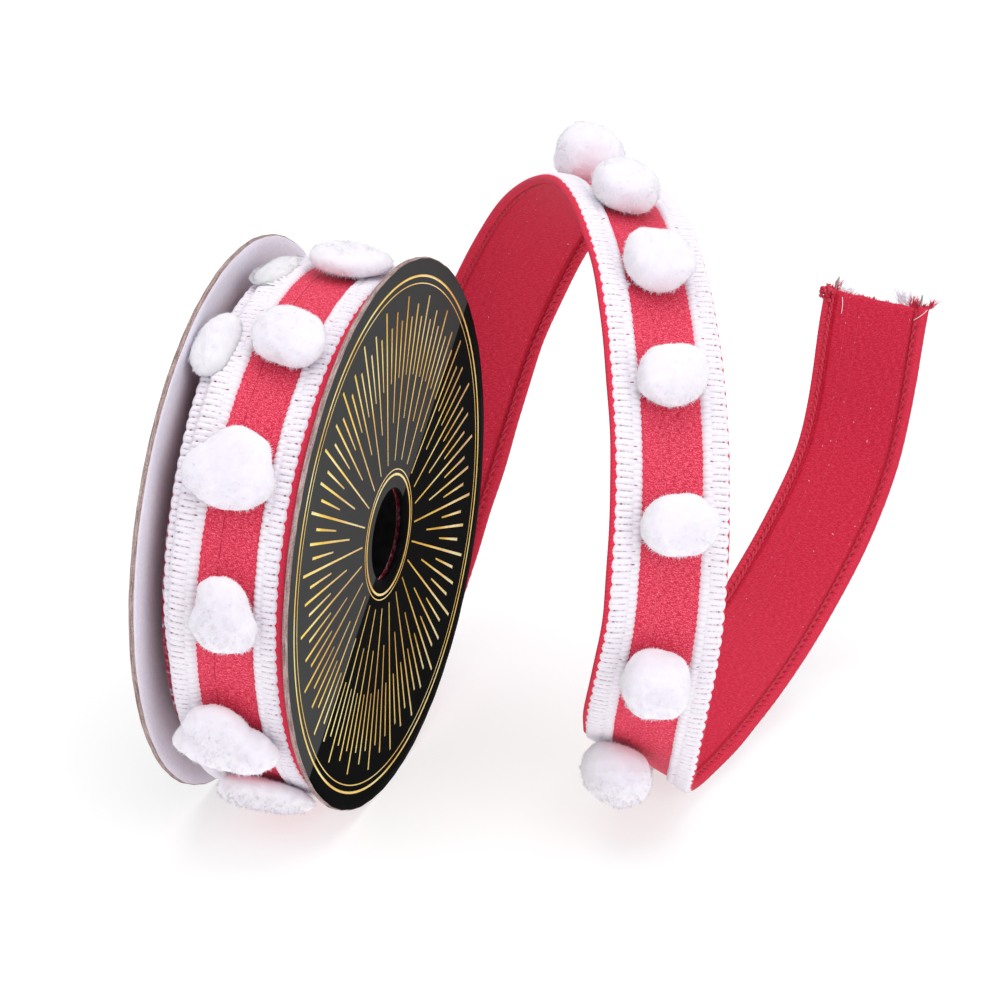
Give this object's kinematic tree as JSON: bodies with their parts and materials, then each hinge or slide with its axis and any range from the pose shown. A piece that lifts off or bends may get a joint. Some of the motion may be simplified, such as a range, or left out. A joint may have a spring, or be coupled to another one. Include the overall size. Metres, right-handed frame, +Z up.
{
  "type": "roll of wired pompom ribbon",
  "caption": "Spool of red wired ribbon trimmed with white braids and pompoms, its loose end standing beside the roll in an open coil.",
  "frame": {"origin": "middle of the small flat on the front flange's rim, on the surface that the roll stands on", "axes": "+X along the spool's axis out of the front flange, +Z up, +Y to the side where the loose end leaves the roll"},
  "size_m": [0.1168, 0.1757, 0.1303],
  "materials": {
    "card": "chipboard with a gloss black printed face and a pale lined inner face",
    "ribbon": "red plain weave with a satin face, hems overlocked over wire",
    "braid": "white gimp braid with scalloped edges",
    "pompom": "brushed white yarn",
    "wire": "bare cut wire"
  },
  "bodies": {
    "root": {"flange_front": "card", "flange_back": "card", "ribbon_roll": "ribbon", "tail_ribbon": "ribbon", "tail_braid_left": "braid", "tail_braid_right": "braid", "wire_end_left": "wire", "wire_end_right": "wire", "roll_pompom_01": "pompom", "roll_pompom_02": "pompom", "roll_pompom_03": "pompom", "roll_pompom_04": "pompom", "roll_pompom_05": "pompom", "roll_pompom_06": "pompom", "roll_pompom_07": "pompom", "roll_pompom_08": "pompom", "roll_pompom_09": "pompom", "roll_pompom_10": "pompom", "roll_pompom_11": "pompom", "roll_pompom_12": "pompom", "lower_tuft_01": "pompom", "lower_tuft_02": "pompom", "tail_pompom_01": "pompom", "tail_pompom_02": "pompom", "tail_pompom_03": "pompom", "tail_pompom_04": "pompom", "tail_pompom_05": "pompom", "tail_pompom_06": "pompom", "tail_pompom_07": "pompom", "tail_pompom_08": "pompom", "tail_pompom_09": "pompom", "tail_pompom_10": "pompom", "tail_pompom_11": "pompom", "tail_pompom_12": "pompom", "tail_pompom_13": "pompom", "tail_pompom_14": "pompom", "tail_pompom_15": "pompom", "tail_pompom_16": "pompom"}
  },
  "joints": []
}
